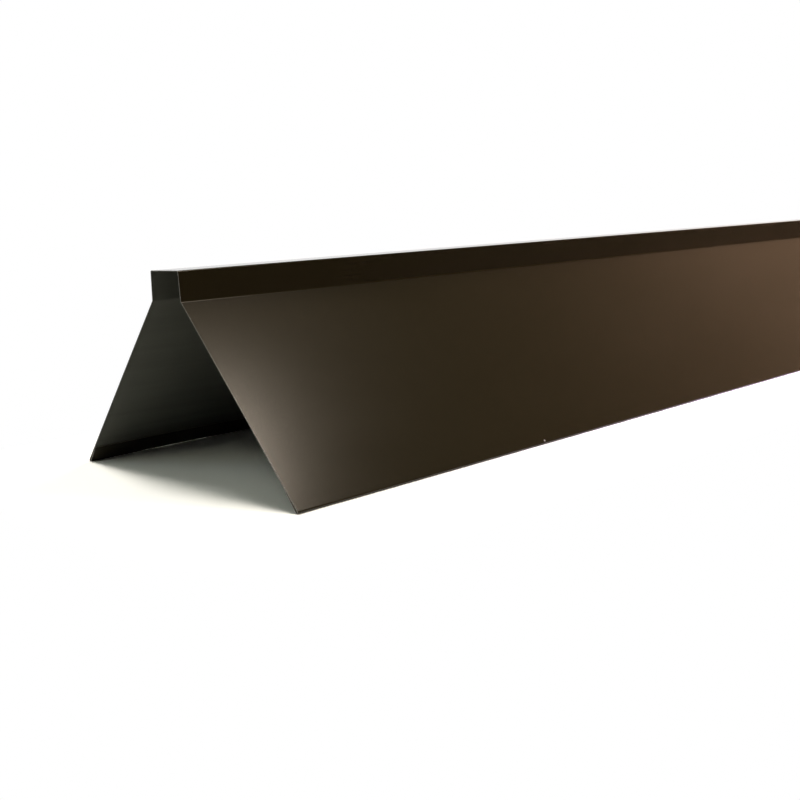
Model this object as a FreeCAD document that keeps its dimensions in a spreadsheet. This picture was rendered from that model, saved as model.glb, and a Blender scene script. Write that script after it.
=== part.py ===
import FreeCAD, Part
import math
import os
import Sketcher

# Ridge flashing: one coated steel sheet, folded along its length.
# The section has a flat ridge top, two short ridge sides, two sloping wings, and a teardrop
# hem turned inwards along the bottom edge of each wing. The flashing stands on its hem folds.
# X runs across the ridge, Y along it and Z up. The origin is at mid length, on the symmetry
# plane, at the height of the surface that the two folds stand on.

doc = FreeCAD.newDocument("RidgeFlashing")

# Driving dimensions, in millimetres and degrees
driving = {
    "Length": 2000,        # stock length along the ridge
    "Sheet": 0.5,          # thickness of the coated sheet
    "RidgeWidth": 30,      # across the ridge top, between its outside corners
    "SideHeight": 18.5,    # upright height of a ridge side, from its corner to the crease
    "SideLean": 2.5,       # outward lean of a ridge side from upright, in degrees
    "WingWidth": 150,      # down the slope, from the crease to the edge of the hem fold
    "WingPitch": 48.7,     # slope of a wing from level, in degrees
    "CornerRadius": 0.5,   # inside radius of the two ridge corners
    "CreaseRadius": 1.5,   # inside radius of the two creases, on the outer face
    "HemWidth": 14,        # from the edge of the hem fold to the tip of the hem
    "HemRadius": 0.6,      # inside radius of the hem fold
    "HemTipGap": 0.2,      # room between the tip of the hem and the wing above it
}
sizes = doc.addObject("Spreadsheet::Sheet", "Sizes")
for row, (name, value) in enumerate(driving.items(), start=1):
    sizes.set(f"A{row}", name)
    sizes.set(f"B{row}", str(value))
    sizes.setAlias(f"B{row}", name)
doc.recompute()


def origin_plane(body, role):
    return next(f for f in body.Origin.OriginFeatures if f.Role == role)


def unit(degrees):
    angle = math.radians(degrees)
    return FreeCAD.Vector(math.cos(angle), math.sin(angle), 0)


# Layout of half the section. A walk along the outer face starts on the symmetry plane,
# crosses the ridge top, goes down the ridge side and the wing, round the hem fold and back
# up to the tip of the hem. The metal is on the right of that walk. The hem leans in towards
# the wing, so that its tip stops at its gap from the wing.
corner_radius = sizes.CornerRadius + sizes.Sheet
fold_radius = sizes.HemRadius + sizes.Sheet
wing_flat = sizes.WingWidth - fold_radius
hem_flat = sizes.HemWidth - fold_radius
hem_closing = math.degrees(
    math.acos((sizes.HemTipGap - sizes.HemRadius) / math.hypot(sizes.HemRadius, hem_flat))
    - math.atan2(hem_flat, sizes.HemRadius)
)
top_heading = 0
side_heading = sizes.SideLean - 90
wing_heading = -sizes.WingPitch
hem_heading = wing_heading - 180 - hem_closing

# The sharp outside corners, and the centres that the bends and the fold turn about
wing_drop = -(unit(wing_heading) * wing_flat + unit(wing_heading - 90) * fold_radius).y
ridge_height = fold_radius + wing_drop + sizes.SideHeight
side_length = sizes.SideHeight / math.cos(math.radians(sizes.SideLean))
corner_setback = corner_radius * math.tan(math.radians(top_heading - side_heading) / 2)
crease_setback = sizes.CreaseRadius * math.tan(math.radians(wing_heading - side_heading) / 2)

ridge_corner = FreeCAD.Vector(sizes.RidgeWidth / 2, ridge_height, 0)
crease_corner = ridge_corner + unit(side_heading) * side_length
corner_centre = ridge_corner - FreeCAD.Vector(corner_setback, corner_radius, 0)
crease_centre = (
    crease_corner
    - unit(side_heading) * crease_setback
    + unit(side_heading + 90) * sizes.CreaseRadius
)
fold_centre = (
    crease_corner
    + unit(wing_heading) * wing_flat
    + unit(wing_heading - 90) * fold_radius
)

# How a sketch names the points of a line or an arc, and its own origin and upright axis
start, end, centre = 1, 2, 3
origin, upright = -1, -2


# One face of the sheet, at a depth below the outer face: flats joined by tangent bends.
# Returns what was drawn, in walking order, as (geometry, its first point, its last point).
def draw_face(sketch, depth):
    bends = [
        (corner_centre, corner_radius - depth, top_heading, side_heading, "right"),
        (crease_centre, sizes.CreaseRadius + depth, side_heading, wing_heading, "left"),
        (fold_centre, fold_radius - depth, wing_heading, hem_heading, "right"),
    ]
    here = FreeCAD.Vector(0, ridge_height - depth, 0)
    drawn = []
    for middle, radius, before, after, hand in bends:
        side = 90 if hand == "right" else -90
        first = middle + unit(before + side) * radius
        flat = sketch.addGeometry(Part.LineSegment(here, first), False)
        low, high = sorted((math.radians(before + side), math.radians(after + side)))
        circle = Part.Circle(middle, FreeCAD.Vector(0, 0, 1), radius)
        bend = sketch.addGeometry(Part.ArcOfCircle(circle, low, high), False)
        drawn.append((flat, start, end))
        drawn.append((bend, end, start) if hand == "right" else (bend, start, end))
        here = middle + unit(after + side) * radius
    tip = here + unit(hem_heading) * hem_flat
    flat = sketch.addGeometry(Part.LineSegment(here, tip), False)
    drawn.append((flat, start, end))
    for (one, _, last), (other, first, _) in zip(drawn, drawn[1:]):
        sketch.addConstraint(Sketcher.Constraint("Tangent", one, last, other, first))
    return drawn


# A straight cut across the sheet, between the same point of its outer and its inner face
def draw_cut(sketch, outside, inside, point):
    ends = [sketch.getPoint(face, point) for face in (outside, inside)]
    cut = sketch.addGeometry(Part.LineSegment(*ends), False)
    sketch.addConstraint(Sketcher.Constraint("Coincident", cut, start, outside, point))
    sketch.addConstraint(Sketcher.Constraint("Coincident", cut, end, inside, point))
    return cut


# The sharp corner where two flats of the outer face would meet, which a folder measures to
def draw_corner(sketch, place, flats):
    corner = sketch.addGeometry(Part.Point(place), True)
    for flat in flats:
        sketch.addConstraint(Sketcher.Constraint("PointOnObject", corner, start, flat))
    return corner


def drive(sketch, name, expression, constraint):
    index = sketch.addConstraint(constraint)
    sketch.renameConstraint(index, name)
    sketch.setExpression(f"Constraints.{name}", expression)


# Half of the section, closed along the symmetry plane and fully constrained
def draw_section(sketch):
    outer = draw_face(sketch, 0)
    inner = draw_face(sketch, sizes.Sheet)
    top, corner, side, crease, wing, fold, hem = [drawn[0] for drawn in outer]
    top_in, corner_in, _, crease_in, _, fold_in, hem_in = [drawn[0] for drawn in inner]
    tip = draw_cut(sketch, hem, hem_in, end)
    seam = draw_cut(sketch, top, top_in, start)
    ridge_point = draw_corner(sketch, ridge_corner, (top, side))
    crease_point = draw_corner(sketch, crease_corner, (side, wing))

    # Form: a level top that ends on the symmetry plane, both faces of each bend about one
    # centre, and a hem with parallel faces and a square tip
    sketch.addConstraint(Sketcher.Constraint("PointOnObject", seam, start, upright))
    sketch.addConstraint(Sketcher.Constraint("Vertical", seam))
    sketch.addConstraint(Sketcher.Constraint("Horizontal", top))
    sketch.addConstraint(Sketcher.Constraint("Horizontal", top_in))
    for outside, inside in ((corner, corner_in), (crease, crease_in), (fold, fold_in)):
        about = Sketcher.Constraint("Coincident", outside, centre, inside, centre)
        sketch.addConstraint(about)
    sketch.addConstraint(Sketcher.Constraint("Parallel", hem, hem_in))
    sketch.addConstraint(Sketcher.Constraint("Perpendicular", tip, hem))

    # Flats and slopes
    drive(sketch, "RidgeHalf", "Sizes.RidgeWidth / 2",
          Sketcher.Constraint("DistanceX", origin, 1, ridge_point, start, ridge_corner.x))
    drive(sketch, "SideHeight", "Sizes.SideHeight",
          Sketcher.Constraint("DistanceY", crease_point, start, ridge_point, start,
                              sizes.SideHeight))
    drive(sketch, "SideSlope", "(Sizes.SideLean - 90) * 1 deg",
          Sketcher.Constraint("Angle", side, math.radians(side_heading)))
    drive(sketch, "WingSlope", "-Sizes.WingPitch * 1 deg",
          Sketcher.Constraint("Angle", wing, math.radians(wing_heading)))
    drive(sketch, "WingFlat", "Sizes.WingWidth - Sizes.HemRadius - Sizes.Sheet",
          Sketcher.Constraint("Distance", crease_point, start, wing, end, wing_flat))
    drive(sketch, "HemFlat", "Sizes.HemWidth - Sizes.HemRadius - Sizes.Sheet",
          Sketcher.Constraint("Distance", hem, start, hem, end, hem_flat))
    drive(sketch, "HemSlope",
          "180 deg + Constraints.WingSlope"
          " + atan2(Sizes.HemWidth - Sizes.HemRadius - Sizes.Sheet; Sizes.HemRadius)"
          " - acos((Sizes.HemTipGap - Sizes.HemRadius) / hypot(Sizes.HemRadius;"
          " Sizes.HemWidth - Sizes.HemRadius - Sizes.Sheet))",
          Sketcher.Constraint("Angle", hem, math.radians(hem_heading + 360)))

    # Bends: the inside radius on one face, and a sheet's thickness more on the other
    for name, bend, radius in (
        ("CornerInside", corner_in, "CornerRadius"),
        ("CreaseInside", crease, "CreaseRadius"),
        ("FoldInside", fold_in, "HemRadius"),
    ):
        drive(sketch, name, f"Sizes.{radius}",
              Sketcher.Constraint("Radius", bend, sizes.getPropertyByName(radius)))
    for name, bend, radius in (
        ("CornerOutside", corner, "CornerRadius"),
        ("CreaseOutside", crease_in, "CreaseRadius"),
        ("FoldOutside", fold, "HemRadius"),
    ):
        drive(sketch, name, f"Sizes.{radius} + Sizes.Sheet",
              Sketcher.Constraint("Radius", bend,
                                  sizes.getPropertyByName(radius) + sizes.Sheet))
    drive(sketch, "FoldHeight", "Sizes.HemRadius + Sizes.Sheet",
          Sketcher.Constraint("DistanceY", origin, 1, fold, centre, fold_radius))


# The folded sheet: half of the section carried along the ridge, and its mirror image
flashing = doc.addObject("PartDesign::Body", "RidgeFlashing")
flashing.Label = "ridge_flashing"
section = flashing.newObject("Sketcher::SketchObject", "Section")
section.AttachmentSupport = [(origin_plane(flashing, "XZ_Plane"), "")]
section.MapMode = "FlatFace"
doc.recompute()
draw_section(section)

half = flashing.newObject("PartDesign::Pad", "HalfFlashing")
half.Profile = section
half.SideType = "Symmetric"
half.setExpression("Length", "Sizes.Length")
doc.recompute()

whole = flashing.newObject("PartDesign::Mirrored", "WholeFlashing")
whole.MirrorPlane = (origin_plane(flashing, "YZ_Plane"), [""])
whole.Originals = [half]
whole.Refine = True
flashing.Tip = whole
doc.recompute()

for thing in doc.Objects:
    if "Invalid" in thing.State or "Error" in thing.State:
        raise RuntimeError(f"{thing.Name} failed: {thing.State}")
shape = flashing.Shape
if shape.isNull() or not shape.isValid() or len(shape.Solids) != 1:
    raise RuntimeError("the flashing isn't one valid solid")
box = shape.BoundBox
print(f"{flashing.Label}: {box.XLength:.2f} x {box.YLength:.1f} x {box.ZLength:.2f} mm,"
      f" {shape.Volume / 1000:.1f} cm3")

os.makedirs("parts", exist_ok=True)
shape.exportStep(f"parts/{flashing.Label}.step")
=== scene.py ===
import math

import bpy
import numpy as np
from mathutils import Matrix, Vector


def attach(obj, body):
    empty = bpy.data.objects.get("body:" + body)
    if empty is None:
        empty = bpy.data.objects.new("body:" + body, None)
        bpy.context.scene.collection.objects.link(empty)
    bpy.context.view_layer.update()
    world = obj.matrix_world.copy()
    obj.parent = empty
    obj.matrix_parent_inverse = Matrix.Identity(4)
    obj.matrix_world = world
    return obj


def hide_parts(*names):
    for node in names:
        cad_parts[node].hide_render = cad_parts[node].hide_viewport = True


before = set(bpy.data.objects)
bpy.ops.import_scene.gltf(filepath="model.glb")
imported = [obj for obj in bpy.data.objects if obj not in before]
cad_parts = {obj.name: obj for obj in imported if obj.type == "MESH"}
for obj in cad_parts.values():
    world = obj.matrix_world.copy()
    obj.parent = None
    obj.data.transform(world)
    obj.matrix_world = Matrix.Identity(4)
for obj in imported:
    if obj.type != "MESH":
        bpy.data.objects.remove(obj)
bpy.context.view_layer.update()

# Ridge flashing of coated steel, folded from one sheet.
# X runs across the ridge, Y along it and Z up. The camera looks at the end at low Y.
# Lengths are in metres.

scene = bpy.context.scene


# The folded sheet
sheet = {
    "length": 2.000,
    "thickness": 0.0005,
    "ridgeWidth": 0.030,      # between the sharp outside corners
    "sideHeight": 0.0185,     # upright, from a ridge corner to its crease
    "sideLean": 2.5,          # degrees from upright
    "wingWidth": 0.150,       # from the crease to the edge of the fold
    "wingPitch": 48.7,        # degrees below level
    "cornerRadius": 0.0005,   # inside radius of the ridge corners
    "creaseRadius": 0.0015,   # inside radius of the creases
    "hemWidth": 0.014,        # from the edge of the fold to the hem's tip
    "hemRadius": 0.0006,      # inside radius of the fold
    "hemTipGap": 0.0002,      # between the hem's tip and the wing
    "wingWave": 0.00028,      # depth of the long shallow waves in a wing
    "hemLift": 0.00028,       # how far the left fold stands off the floor near the open end
    "liftRise": (0, 0.055),   # from the open end, where that lift starts and is full
    "liftFall": (0.09, 0.125),       # and where it fades and is gone
    "liftDown": (0.35, 1),    # the lift grows over this share of the wing, from the crease down
    "rollover": 0.00006,      # rounding that the shears leave at a cut edge
    "rolloverReach": 0.0001,  # how far from the cut it starts
    "wornReach": 0.0012,      # how fast the wear of a cut end dies out
    "bendWear": 0.5,          # wear at a bend, where a cut end has 1
    "foldShadeHeight": (0.013, 0.004),   # where the painted shade inside the fold starts and is full
}

# The waves of a wing: radians per metre, phase, phase from crease to fold, phase by side and
# share
waves = (
    (6.3, 1.1, 0, 0.9, 1),
    (14.2, 0, 2.3, 0.4, 0.6),
    (27.0, 1.7, -3.1, 0, 0.35),
)

# How finely the sheet's mesh is divided
meshing = {
    "corner": 6,              # steps round a bend
    "crease": 8,
    "fold": 16,
    "top": 5,                 # steps over a flat
    "side": 6,
    "wing": 44,
    "hem": 6,
    "closeToBend": 0.00025,   # a flat has one more point this close to each of its ends
    "endStations": (0, 0.02, 0.05, 0.1, 0.2, 0.6, 1.5, 3, 5, 7.5, 10, 13, 16, 20),   # millimetres
    "middleStations": 150,
    "middleMargin": 0.026,    # the even stations stop this far from a cut end
    "sharpAngle": 40,         # degrees
    "bendTurn": 0.1,          # radians between two points, from which they are wholly a bend
}


# Direction of a heading in degrees, in the plane of the section
def heading(degrees):
    return np.array([math.cos(math.radians(degrees)), math.sin(math.radians(degrees))])


# Distances along a flat: even steps, with one more point close to each end, so that a bend's
# shading stops at the bend
def flatSteps(length, count):
    inner = np.linspace(0, length, count + 1)
    close = min(meshing["closeToBend"], length * 0.2)
    return np.unique(np.concatenate([inner, [close, length - close]]))


# Half of the section as a walk on the outer face, from the symmetry plane to the hem's tip.
# A flat is start + heading * distance; a bend is centre + radius * (cos a, sin a), with the
# angle going evenly from one heading's normal to the next's.
def halfSection():
    foldRadius = sheet["hemRadius"] + sheet["thickness"]
    cornerRadius = sheet["cornerRadius"] + sheet["thickness"]
    wingFlat = sheet["wingWidth"] - foldRadius
    hemFlat = sheet["hemWidth"] - foldRadius
    hemClosing = math.degrees(
        math.acos((sheet["hemTipGap"] - sheet["hemRadius"])
                  / math.hypot(sheet["hemRadius"], hemFlat))
        - math.atan2(hemFlat, sheet["hemRadius"]))
    side = sheet["sideLean"] - 90
    wing = -sheet["wingPitch"]
    hem = wing - 180 - hemClosing
    wingDrop = -(heading(wing) * wingFlat + heading(wing - 90) * foldRadius)[1]
    ridgeCorner = np.array([sheet["ridgeWidth"] / 2,
                            foldRadius + wingDrop + sheet["sideHeight"]])
    sideLength = sheet["sideHeight"] / math.cos(math.radians(sheet["sideLean"]))
    crease = ridgeCorner + heading(side) * sideLength
    cornerBack = cornerRadius * math.tan(math.radians(-side) / 2)
    creaseBack = sheet["creaseRadius"] * math.tan(math.radians(wing - side) / 2)
    cornerCentre = ridgeCorner - [cornerBack, cornerRadius]
    creaseCentre = (crease - heading(side) * creaseBack
                    + heading(side + 90) * sheet["creaseRadius"])
    foldCentre = crease + heading(wing) * wingFlat + heading(wing - 90) * foldRadius

    bends = [
        (cornerCentre, cornerRadius, 0, side, 90, "corner", "top"),
        (creaseCentre, sheet["creaseRadius"], side, wing, -90, "crease", "side"),
        (foldCentre, foldRadius, wing, hem, 90, "fold", "wing"),
    ]
    here = np.array([0.0, ridgeCorner[1]])
    points, normals = [], []
    for centre, radius, before, after, turn, bend, flat in bends:
        first = centre + heading(before + turn) * radius
        distance = flatSteps(np.linalg.norm(first - here), meshing[flat])
        points.append(here + np.outer(distance, heading(before)))
        normals.append(np.tile(heading(before + 90), (len(distance), 1)))
        angle = np.radians(np.linspace(before, after, meshing[bend] + 1)[1:-1])
        facing = np.stack([-np.sin(angle), np.cos(angle)], axis=1)
        points.append(centre + facing * radius * (1 if turn > 0 else -1))
        normals.append(facing)
        here = centre + heading(after + turn) * radius
    distance = flatSteps(hemFlat, meshing["hem"])
    points.append(here + np.outer(distance, heading(hem)))
    normals.append(np.tile(heading(hem + 90), (len(distance), 1)))
    return np.concatenate(points), np.concatenate(normals), crease, foldCentre


# Stations along the sheet: even steps of 13 mm, closer together towards both cut ends
def stationsAlong():
    half = sheet["length"] / 2
    fromEnd = np.array(meshing["endStations"]) / 1000
    reach = half - meshing["middleMargin"]
    middle = np.linspace(-reach, reach, meshing["middleStations"])
    return np.concatenate([-half + fromEnd, middle, (half - fromEnd)[::-1]])


# A smooth climb from 0 at low to 1 at high, by t * t * (3 - 2 * t)
def smoothStep(low, high, value):
    t = np.clip((value - low) / (high - low), 0, 1)
    return t * t * (3 - 2 * t)


# A mesh object at the origin, from its points and faces
def newPiece(name, points, faces):
    mesh = bpy.data.meshes.new(name)
    mesh.from_pydata(points, [], faces)
    piece = bpy.data.objects.new(name, mesh)
    scene.collection.objects.link(piece)
    return piece


# Faces between four like grids of point numbers
def quads(*corners):
    return np.stack([corner.ravel() for corner in corners], axis=1)


# Faces of the closed sheet and each face's material. The outer face is a grid of points, and
# the inner face is the same grid, numbered after it.
def sheetFaces(rows, columns):
    index = np.arange(rows * columns).reshape(rows, columns)
    below = index + rows * columns
    top = quads(index[:-1, :-1], index[:-1, 1:], index[1:, 1:], index[1:, :-1])
    bottom = quads(below[:-1, :-1], below[1:, :-1], below[1:, 1:], below[:-1, 1:])
    nearCut = quads(index[0, :-1], below[0, :-1], below[0, 1:], index[0, 1:])
    farCut = quads(index[-1, :-1], index[-1, 1:], below[-1, 1:], below[-1, :-1])
    leftTip = quads(index[:-1, 0], index[1:, 0], below[1:, 0], below[:-1, 0])
    rightTip = quads(index[:-1, -1], below[:-1, -1], below[1:, -1], index[1:, -1])
    faces = np.concatenate([top, bottom, nearCut, farCut, leftTip, rightTip])
    cuts = len(faces) - len(top) - len(bottom)
    return faces, np.repeat([0, 1, 2], [len(top), len(bottom), cuts])


# Keeps a value for each point of the outer face, and the same one for the inner face
def keepValues(mesh, name, values):
    attribute = mesh.attributes.new(name, "FLOAT", "POINT")
    attribute.data.foreach_set("value", np.tile(values.ravel(), 2).astype(np.float32))


# The sheet is the section carried along Y. Each point of the outer face moves by
# wave(u, y) * normal, where the wave is a sum of long cosines that die out at the creases and
# folds. The inner face is the outer one less thickness * normal.
def buildSheet():
    halfPoints, halfNormals, creaseLine, foldCentre = halfSection()
    mirror = np.array([-1, 1])
    outline = np.concatenate([(halfPoints * mirror)[:0:-1], halfPoints])
    facing = np.concatenate([(halfNormals * mirror)[:0:-1], halfNormals])
    x0, yy = np.meshgrid(outline[:, 0], stationsAlong())
    z0, nx, nz = (np.broadcast_to(values, x0.shape)
                  for values in (outline[:, 1], facing[:, 0], facing[:, 1]))
    side = np.sign(x0)
    facesUp = nz > 0.3        # the wings and the ridge top, but not the ridge sides or the hems

    # How far down the wing a point is, from 0 at the crease to 1 at the fold
    down = np.clip((creaseLine[1] - z0) / (creaseLine[1] - foldCentre[1]), 0, 1)

    # The waves die out at the crease and the fold, by sin(pi * down) ** 1.2
    wave = sum(share * np.cos(pace * yy + phase + phaseDown * down + phaseSide * side)
               for pace, phase, phaseDown, phaseSide, share in waves)
    wave = wave / sum(share for *_, share in waves)
    move = sheet["wingWave"] * wave * np.sin(np.pi * down) ** 1.2 * facesUp
    x, z = x0 + nx * move, z0 + nz * move

    # The left wing's lower part stands a little off the floor, some way in from the open end
    fromEnd = yy + sheet["length"] / 2
    lift = (smoothStep(*sheet["liftRise"], fromEnd) * (1 - smoothStep(*sheet["liftFall"], fromEnd))
            * smoothStep(*sheet["liftDown"], down) * (side < 0))
    z = z + sheet["hemLift"] * lift

    # The shears round both faces over the last tenth of a millimetre
    toEnd = sheet["length"] / 2 - np.abs(yy)
    roll = sheet["rollover"] * np.clip(1 - toEnd / sheet["rolloverReach"], 0, 1) ** 2
    depth = sheet["thickness"] - roll
    outer = np.stack([x - nx * roll, yy, z - nz * roll], axis=-1)
    inner = np.stack([x - nx * depth, yy, z - nz * depth], axis=-1)

    points = np.concatenate([outer.reshape(-1, 3), inner.reshape(-1, 3)])
    faces, slots = sheetFaces(*x.shape)
    piece = newPiece("folded_sheet", points.tolist(), faces.tolist())
    mesh = piece.data
    mesh.polygons.foreach_set("material_index", slots.astype(np.int32))
    mesh.polygons.foreach_set("use_smooth", np.ones(len(faces), dtype=bool))
    mesh.set_sharp_from_angle(angle=math.radians(meshing["sharpAngle"]))

    # How much a place is handled: the cut ends, and the edges of the bends
    turn = np.gradient(np.unwrap(np.arctan2(facing[:, 1], facing[:, 0]))) / meshing["bendTurn"]
    atBend = sheet["bendWear"] * np.clip(np.abs(turn), 0, 1)
    keepValues(mesh, "worn", np.maximum(np.exp(-toEnd / sheet["wornReach"]), atBend))

    # The hollow of a crease, where the section turns the other way
    keepValues(mesh, "crease", np.broadcast_to(np.clip(turn, 0, 1), x.shape))

    # Painted shade inside the fold: a mask from the hem's tip to as far up the wing, where the
    # backer turns dark
    fold = np.where(facesUp, smoothStep(*sheet["foldShadeHeight"], z0), 1) * (down > 0.5)
    keepValues(mesh, "fold", fold)
    print(f"folded sheet: {len(points)} points, {len(faces)} faces")
    return piece


# A new material, its node tree and its shader
def newMaterial(name):
    material = bpy.data.materials.new(name)
    material.use_nodes = True
    tree = material.node_tree
    return material, tree, tree.nodes["Principled BSDF"]


# Gives a socket a number, a colour or another node's result
def feed(tree, value, socket):
    if isinstance(value, (int, float)):
        socket.default_value = value
    elif isinstance(value, tuple):
        socket.default_value = (*value, 1)
    else:
        tree.links.new(value, socket)


# A place on the piece, in the piece's own coordinates
def ownPlace(tree):
    return tree.nodes.new("ShaderNodeTexCoord").outputs["Object"]


even = (1, 1, 1)              # the shares of a pattern that isn't drawn out
noiseRoughness = 0.55         # how strong the finer octaves of a pattern are


# Noise on Object coordinates. A pattern is its scale, its detail, and the scale's share along
# X, Y and Z, where a small share draws the noise out.
def makePattern(tree, pattern):
    scale, detail, shares = pattern
    mapping = tree.nodes.new("ShaderNodeMapping")
    mapping.inputs["Scale"].default_value = shares
    noise = tree.nodes.new("ShaderNodeTexNoise")
    noise.inputs["Scale"].default_value = scale
    noise.inputs["Detail"].default_value = detail
    noise.inputs["Roughness"].default_value = noiseRoughness
    tree.links.new(ownPlace(tree), mapping.inputs["Vector"])
    tree.links.new(mapping.outputs["Vector"], noise.inputs["Vector"])
    return noise.outputs["Fac"]


# A value that the mesh keeps at its points
def meshValue(tree, name):
    node = tree.nodes.new("ShaderNodeAttribute")
    node.attribute_name = name
    return node.outputs["Fac"]


# Carries a value evenly from one range to another, and no further than its ends
def remap(tree, value, before, after=(0, 1)):
    node = tree.nodes.new("ShaderNodeMapRange")
    node.inputs["From Min"].default_value, node.inputs["From Max"].default_value = before
    node.inputs["To Min"].default_value, node.inputs["To Max"].default_value = after
    tree.links.new(value, node.inputs["Value"])
    return node.outputs["Result"]


# One operation of a Math node on one or two values
def calculate(tree, operation, first, second=0):
    node = tree.nodes.new("ShaderNodeMath")
    node.operation = operation
    feed(tree, first, node.inputs[0])
    feed(tree, second, node.inputs[1])
    return node.outputs["Value"]


# The first colour where the share is 0, the second where it is 1
def blendColour(tree, share, first, second):
    node = tree.nodes.new("ShaderNodeMix")
    node.data_type = "RGBA"
    feed(tree, share, node.inputs["Factor"])
    feed(tree, first, node.inputs["A"])
    feed(tree, second, node.inputs["B"])
    return node.outputs["Result"]


# Bumps laid over each other, each as its height, strength and distance
def addBump(tree, shader, layers):
    normal = None
    for height, strength, distance in layers:
        bump = tree.nodes.new("ShaderNodeBump")
        bump.inputs["Strength"].default_value = strength
        bump.inputs["Distance"].default_value = distance
        tree.links.new(height, bump.inputs["Height"])
        if normal is not None:
            tree.links.new(normal, bump.inputs["Normal"])
        normal = bump.outputs["Normal"]
    tree.links.new(normal, shader.inputs["Normal"])


noiseSpan = (0.3, 0.7)        # a pattern keeps mostly between these

# Each chip: its place, its radius and its share of the chip colour
chips = (
    ((0.11347, -0.7832, 0.00252), 0.0008, 0.60),
)

topcoat = {
    "colour": (0.0228, 0.0170, 0.0070),
    "paleColour": (0.0256, 0.0192, 0.0082),
    "slow": (9, 3, (1, 0.35, 1)),
    "streaks": (260, 3, (1, 0.03, 1)),
    "streakShare": 0.1,       # of the tone, and the slow pattern makes the rest
    "toneSpan": (0.38, 0.62),
    "dust": (0.16, 0.145, 0.125),
    "speckle": (1500, 1, even),
    "dustSpan": (0.71, 0.78),
    "dustShare": 0.16,
    "bare": (0.42, 0.40, 0.37),
    "scuffs": (900, 3, even),
    "scuffSpan": (1.45, 1.58),
    "chip": (0.78, 0.74, 0.70),
    "roughness": (0.165, 0.195),
    "ior": 1.50,
    "gloss": (0.5, 0.14),     # on a flat, and in the hollow of a crease
    "ripple": (420, 2, even),
    "rippleBump": (0.03, 0.0004),
    "grain": (2600, 2, even),
    "grainBump": (0.05, 0.0001),
}


# Dark brown satin topcoat: slow shifts of tone, streaks from the roller along the sheet, a
# fine grain in the bump, a little dust, bare metal where the cut ends are scuffed, dull
# creases, and chips in the coat, each a disc of distance from its place
def makeTopcoat():
    material, tree, shader = newMaterial("dark_brown_topcoat")
    slow = makePattern(tree, topcoat["slow"])
    streaks = makePattern(tree, topcoat["streaks"])
    tone = calculate(tree, "ADD",
                     calculate(tree, "MULTIPLY", slow, 1 - topcoat["streakShare"]),
                     calculate(tree, "MULTIPLY", streaks, topcoat["streakShare"]))
    tone = remap(tree, tone, topcoat["toneSpan"])
    colour = blendColour(tree, tone, topcoat["colour"], topcoat["paleColour"])
    dusty = remap(tree, makePattern(tree, topcoat["speckle"]), topcoat["dustSpan"],
                  (0, topcoat["dustShare"]))
    colour = blendColour(tree, dusty, colour, topcoat["dust"])
    scuffs = calculate(tree, "ADD", meshValue(tree, "worn"),
                       makePattern(tree, topcoat["scuffs"]))
    scuffs = remap(tree, scuffs, topcoat["scuffSpan"])
    colour = blendColour(tree, scuffs, colour, topcoat["bare"])
    for centre, radius, share in chips:
        away = tree.nodes.new("ShaderNodeVectorMath")
        away.operation = "DISTANCE"
        away.inputs[1].default_value = centre
        tree.links.new(ownPlace(tree), away.inputs[0])
        inside = remap(tree, away.outputs["Value"], (radius, radius * 0.6), (0, share))
        colour = blendColour(tree, inside, colour, topcoat["chip"])
    feed(tree, colour, shader.inputs["Base Color"])
    feed(tree, remap(tree, slow, noiseSpan, topcoat["roughness"]), shader.inputs["Roughness"])
    feed(tree, topcoat["ior"], shader.inputs["IOR"])
    feed(tree, remap(tree, meshValue(tree, "crease"), (0, 1), topcoat["gloss"]),
         shader.inputs["Specular IOR Level"])
    addBump(tree, shader, [
        (makePattern(tree, topcoat["ripple"]), *topcoat["rippleBump"]),
        (makePattern(tree, topcoat["grain"]), *topcoat["grainBump"]),
    ])
    return material


backer = {
    "colour": (0.094, 0.096, 0.080),
    "paleColour": (0.111, 0.113, 0.096),
    "streaks": (160, 4, (1, 0.04, 1)),
    "slow": (14, 3, (1, 0.4, 1)),
    "toneSpan": (0.15, 0.36),
    "speck": (0.035, 0.035, 0.03),
    "specks": (1100, 1, even),
    "speckSpan": (0.70, 0.78),
    "speckShare": 0.6,
    # painted shade: the backer's colour inside the fold
    "foldShadeColour": (0.012, 0.010, 0.008),
    "roughness": (0.48, 0.60),
    "ior": 1.45,
    "streakBump": (0.06, 0.0003),
    "grain": (1800, 2, even),
    "grainBump": (0.12, 0.0001),
}


# Grey-green backer coat: thin and matt, with streaks from the roller, small dark specks, and
# painted shade inside the fold
def makeBacker():
    material, tree, shader = newMaterial("grey_backer_coat")
    streaks = makePattern(tree, backer["streaks"])
    slow = makePattern(tree, backer["slow"])
    tone = remap(tree, calculate(tree, "MULTIPLY", streaks, slow), backer["toneSpan"])
    colour = blendColour(tree, tone, backer["colour"], backer["paleColour"])
    specks = remap(tree, makePattern(tree, backer["specks"]), backer["speckSpan"],
                   (0, backer["speckShare"]))
    colour = blendColour(tree, specks, colour, backer["speck"])
    # Painted shade: the backer turns dark inside the fold
    colour = blendColour(tree, meshValue(tree, "fold"), colour, backer["foldShadeColour"])
    feed(tree, colour, shader.inputs["Base Color"])
    feed(tree, remap(tree, slow, noiseSpan, backer["roughness"]), shader.inputs["Roughness"])
    feed(tree, backer["ior"], shader.inputs["IOR"])
    addBump(tree, shader, [
        (streaks, *backer["streakBump"]),
        (makePattern(tree, backer["grain"]), *backer["grainBump"]),
    ])
    return material


cutSteel = {
    "colour": (0.33, 0.32, 0.295),
    "dullColour": (0.19, 0.18, 0.167),
    "metallic": 0.55,
    "tear": (2400, 4, even),
    "tearSpan": (0.35, 0.65),
    "roughness": (0.42, 0.6),
    "tearBump": (0.3, 0.00005),
}


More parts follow.
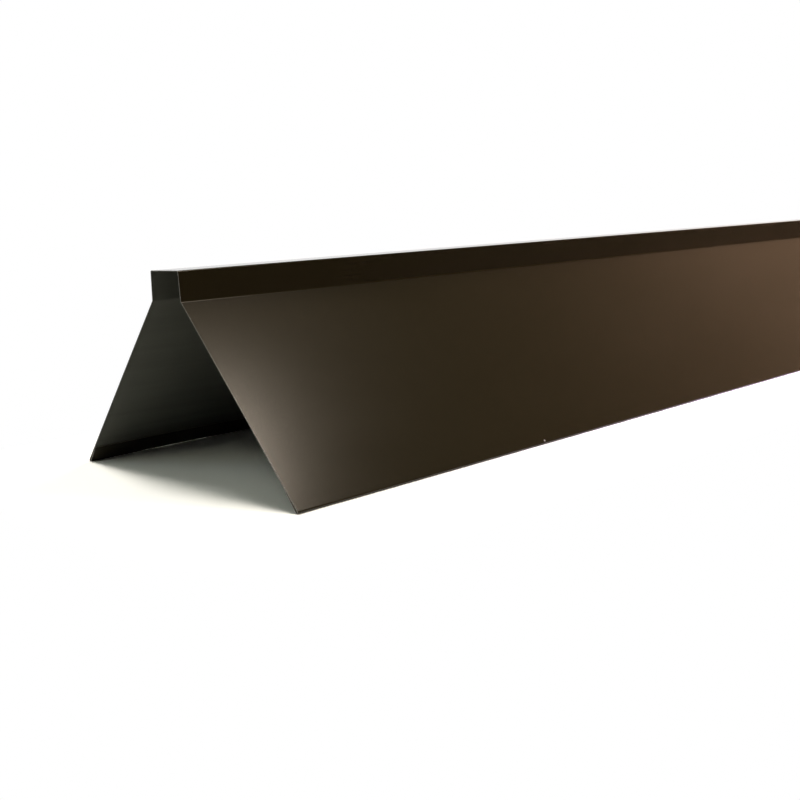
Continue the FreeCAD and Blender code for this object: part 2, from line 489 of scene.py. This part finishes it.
# Sheared edge: a bright burnished band and a torn duller one, as grain across the thickness
def makeCutSteel():
    material, tree, shader = newMaterial("sheared_steel_edge")
    tear = makePattern(tree, cutSteel["tear"])
    colour = blendColour(tree, remap(tree, tear, cutSteel["tearSpan"]),
                         cutSteel["dullColour"], cutSteel["colour"])
    feed(tree, colour, shader.inputs["Base Color"])
    feed(tree, cutSteel["metallic"], shader.inputs["Metallic"])
    feed(tree, remap(tree, tear, noiseSpan, cutSteel["roughness"]), shader.inputs["Roughness"])
    addBump(tree, shader, [(tear, *cutSteel["tearBump"])])
    return material


foldedSheet = buildSheet()
for finish in (makeTopcoat(), makeBacker(), makeCutSteel()):
    foldedSheet.data.materials.append(finish)
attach(foldedSheet, "root")
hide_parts("ridge_flashing")


# Floor and background
studio = {
    "floorSize": 30.0,
    "floorColour": 0.80,
    "floorInView": 1.36,      # the floor's colour as the camera sees it, past white
    "sheetHalf": (0.114, 1.0),       # half the sheet's width and length on the floor
    "shadowReach": (0.01, 0.10),     # how far from the sheet the floor in view turns white
    "ambient": 0.02,
    "backdropGloss": 1.30,    # the lit backdrop, as the gloss shows it
    "dimGloss": 0.012,        # and the rest of the world
    "backdropTowards": (-0.70, 0.71, -0.02),
    "backdropEdge": (0.75, 0.90),    # its cosines from there, where it starts and is full
    "cardNear": 0.1165,       # the dark card lies from here
    "cardFar": 0.60,          # to here, and stands up
    "cardLow": 0.0004,
    "cardHeight": 0.45,
    "cardAlong": (-1.06, 2.20),
    # the card's faint glow, a painted dark reflection
    "cardColour": (0.009, 0.003, 0.001),
}


# White floor: plain paper. The camera sees it brighter than it lights the sheet, and white
# from a little way off the sheet, by the distance sqrt(dx * dx + dy * dy) from its rectangle.
def makeFloor():
    size = studio["floorSize"] / 2
    corners = [(-size, -size, 0), (size, -size, 0), (size, size, 0), (-size, size, 0)]
    floor = newPiece("studio_floor", corners, [(0, 1, 2, 3)])
    material, tree, shader = newMaterial("white_floor")
    tree.nodes.remove(shader)
    path = tree.nodes.new("ShaderNodeLightPath")
    seen = calculate(tree, "MAXIMUM", path.outputs["Is Camera Ray"],
                     path.outputs["Is Glossy Ray"])
    seen = calculate(tree, "MAXIMUM", seen, path.outputs["Is Transmission Ray"])
    plain = (studio["floorColour"],) * 3
    bright = (studio["floorInView"],) * 3
    diffuse = tree.nodes.new("ShaderNodeBsdfDiffuse")
    feed(tree, blendColour(tree, seen, plain, bright), diffuse.inputs["Color"])
    white = tree.nodes.new("ShaderNodeEmission")
    split = tree.nodes.new("ShaderNodeSeparateXYZ")
    feed(tree, ownPlace(tree), split.inputs["Vector"])
    squares = []
    for axis, half in zip("XY", studio["sheetHalf"]):
        away = calculate(tree, "ABSOLUTE", split.outputs[axis])
        away = calculate(tree, "MAXIMUM", calculate(tree, "SUBTRACT", away, half), 0)
        squares.append(calculate(tree, "POWER", away, 2))
    away = calculate(tree, "SQRT", calculate(tree, "ADD", *squares))
    away = remap(tree, away, studio["shadowReach"])
    blend = tree.nodes.new("ShaderNodeMixShader")
    feed(tree, calculate(tree, "MULTIPLY", away, seen), blend.inputs["Fac"])
    feed(tree, diffuse.outputs["BSDF"], blend.inputs[1])
    feed(tree, white.outputs["Emission"], blend.inputs[2])
    feed(tree, blend.outputs["Shader"], tree.nodes["Material Output"].inputs["Surface"])
    floor.data.materials.append(material)


# Dark card at the right of the sheet, which only gloss shows: its faint brown glow is a painted
# dark reflection in the ridge side and the fold. It lies on the floor from the fold outwards and
# then stands up: the section is an L, carried along Y.
def makeCard():
    section = [(studio["cardNear"], studio["cardLow"]), (studio["cardFar"], studio["cardLow"]),
               (studio["cardFar"], studio["cardHeight"])]
    points = [(x, y, z) for y in studio["cardAlong"] for x, z in section]
    card = newPiece("dark_card", points, [(0, 1, 4, 3), (1, 2, 5, 4)])
    card.visible_camera = False
    card.visible_diffuse = False
    card.visible_transmission = False
    card.visible_shadow = False
    material, tree, shader = newMaterial("dark_card")
    tree.nodes.remove(shader)
    glow = tree.nodes.new("ShaderNodeEmission")
    feed(tree, studio["cardColour"], glow.inputs["Color"])
    feed(tree, glow.outputs["Emission"], tree.nodes["Material Output"].inputs["Surface"])
    card.data.materials.append(material)


# The world is white to the camera. To gloss it is a lit backdrop behind the sheet, as the
# camera sees it, and dim elsewhere. To the rest it is a low even light.
def makeWorld():
    world = bpy.data.worlds.new("studio")
    scene.world = world
    world.use_nodes = True
    tree = world.node_tree
    path = tree.nodes.new("ShaderNodeLightPath")
    direction = tree.nodes.new("ShaderNodeTexCoord")
    towards = tree.nodes.new("ShaderNodeVectorMath")
    towards.operation = "DOT_PRODUCT"
    towards.inputs[1].default_value = studio["backdropTowards"]
    feed(tree, direction.outputs["Generated"], towards.inputs[0])
    behind = remap(tree, towards.outputs["Value"], studio["backdropEdge"],
                   (studio["dimGloss"], studio["backdropGloss"]))
    gloss = calculate(tree, "MULTIPLY", behind, path.outputs["Is Glossy Ray"])
    view = calculate(tree, "MAXIMUM", path.outputs["Is Camera Ray"],
                     path.outputs["Is Transmission Ray"])
    strength = calculate(tree, "MAXIMUM", calculate(tree, "MAXIMUM", view, gloss),
                         studio["ambient"])
    background = tree.nodes["Background"]
    background.inputs["Color"].default_value = (1, 1, 1, 1)
    feed(tree, strength, background.inputs["Strength"])


# Each lamp: place, the point it faces, its size in metres, its spread in degrees, its power in
# watts and its colour
lamps = {
    "key_left": ((-0.66, -0.80, 2.20), (0.0, -0.95, 0.0), 0.50, 180, 8.2, (1.00, 0.98, 0.92)),
    "key_middle": ((0.00, -0.80, 2.20), (0.0, -0.95, 0.0), 0.60, 180, 18.9, (1.00, 0.94, 0.84)),
    "key_close": ((-0.30, -1.05, 1.50), (0.0, -0.98, 0.0), 0.30, 180, 3.6, (1.00, 1.00, 0.90)),
    "end_sheen": ((0.83, -0.073, 1.642), (0.08, -1.0, 0.05), 0.495, 180, 10.1,
                  (1.00, 0.86, 0.71)),
    "front_top": ((0.00, -2.20, 2.40), (0.0, -1.0, 0.05), 0.80, 180, 2.8, (0.91, 1.00, 0.98)),
    "front_left": ((-1.00, -2.00, 2.40), (0.0, -1.0, 0.05), 0.80, 180, 2.4, (1.00, 0.99, 0.78)),
    "front_low": ((-0.50, -3.50, 2.00), (0.0, -1.0, 0.05), 0.50, 180, 3.9, (0.95, 1.00, 0.77)),
    "front_right": ((1.03, -2.37, 2.00), (0.0, -1.0, 0.05), 0.25, 180, 1.2, (0.96, 1.00, 0.80)),
    "far_high": ((0.00, -0.15, 1.10), (0.0, -0.15, 0.0), 0.30, 66, 11.2, (0.88, 0.69, 1.00)),
}


# Each lamp is a disc that faces its target. Gloss doesn't show the far one.
def makeLamps():
    for name, (place, target, size, spread, power, colour) in lamps.items():
        light = bpy.data.lights.new(name, "AREA")
        light.shape = "DISK"
        light.size = size
        light.spread = math.radians(spread)
        light.energy = power
        light.color = colour
        lamp = bpy.data.objects.new(name, light)
        scene.collection.objects.link(lamp)
        lamp.location = place
        facing = Vector(target) - Vector(place)
        lamp.rotation_euler = facing.to_track_quat("-Z", "Y").to_euler()
        lamp.visible_camera = False
        lamp.visible_glossy = not name.startswith("far")


camera = {
    "place": (0.57014, -1.35800, 0.15884),
    "forward": (-0.709986, 0.683985, -0.167586),
    "right": (0.698707, 0.713903, -0.046384),
    "lens": 49.125,           # millimetres, as is the sensor
    "sensor": 36,
    "clip": (0.01, 100),
}


# The camera's axes are its right, its up (forward turned by a right angle) and its back
def makeCamera():
    data = bpy.data.cameras.new("view")
    data.lens = camera["lens"]
    data.sensor_width = camera["sensor"]
    data.clip_start, data.clip_end = camera["clip"]
    view = bpy.data.objects.new("view", data)
    scene.collection.objects.link(view)
    forward = Vector(camera["forward"]).normalized()
    up = Vector(camera["right"]).cross(forward).normalized()
    axes = Matrix((forward.cross(up), up, -forward)).transposed()
    view.matrix_world = Matrix.Translation(camera["place"]) @ axes.to_4x4()
    scene.camera = view


makeFloor()
makeCard()
makeWorld()
makeLamps()
makeCamera()
scene.view_settings.view_transform = "Standard"
print("floor, world, lamps and camera are in place")
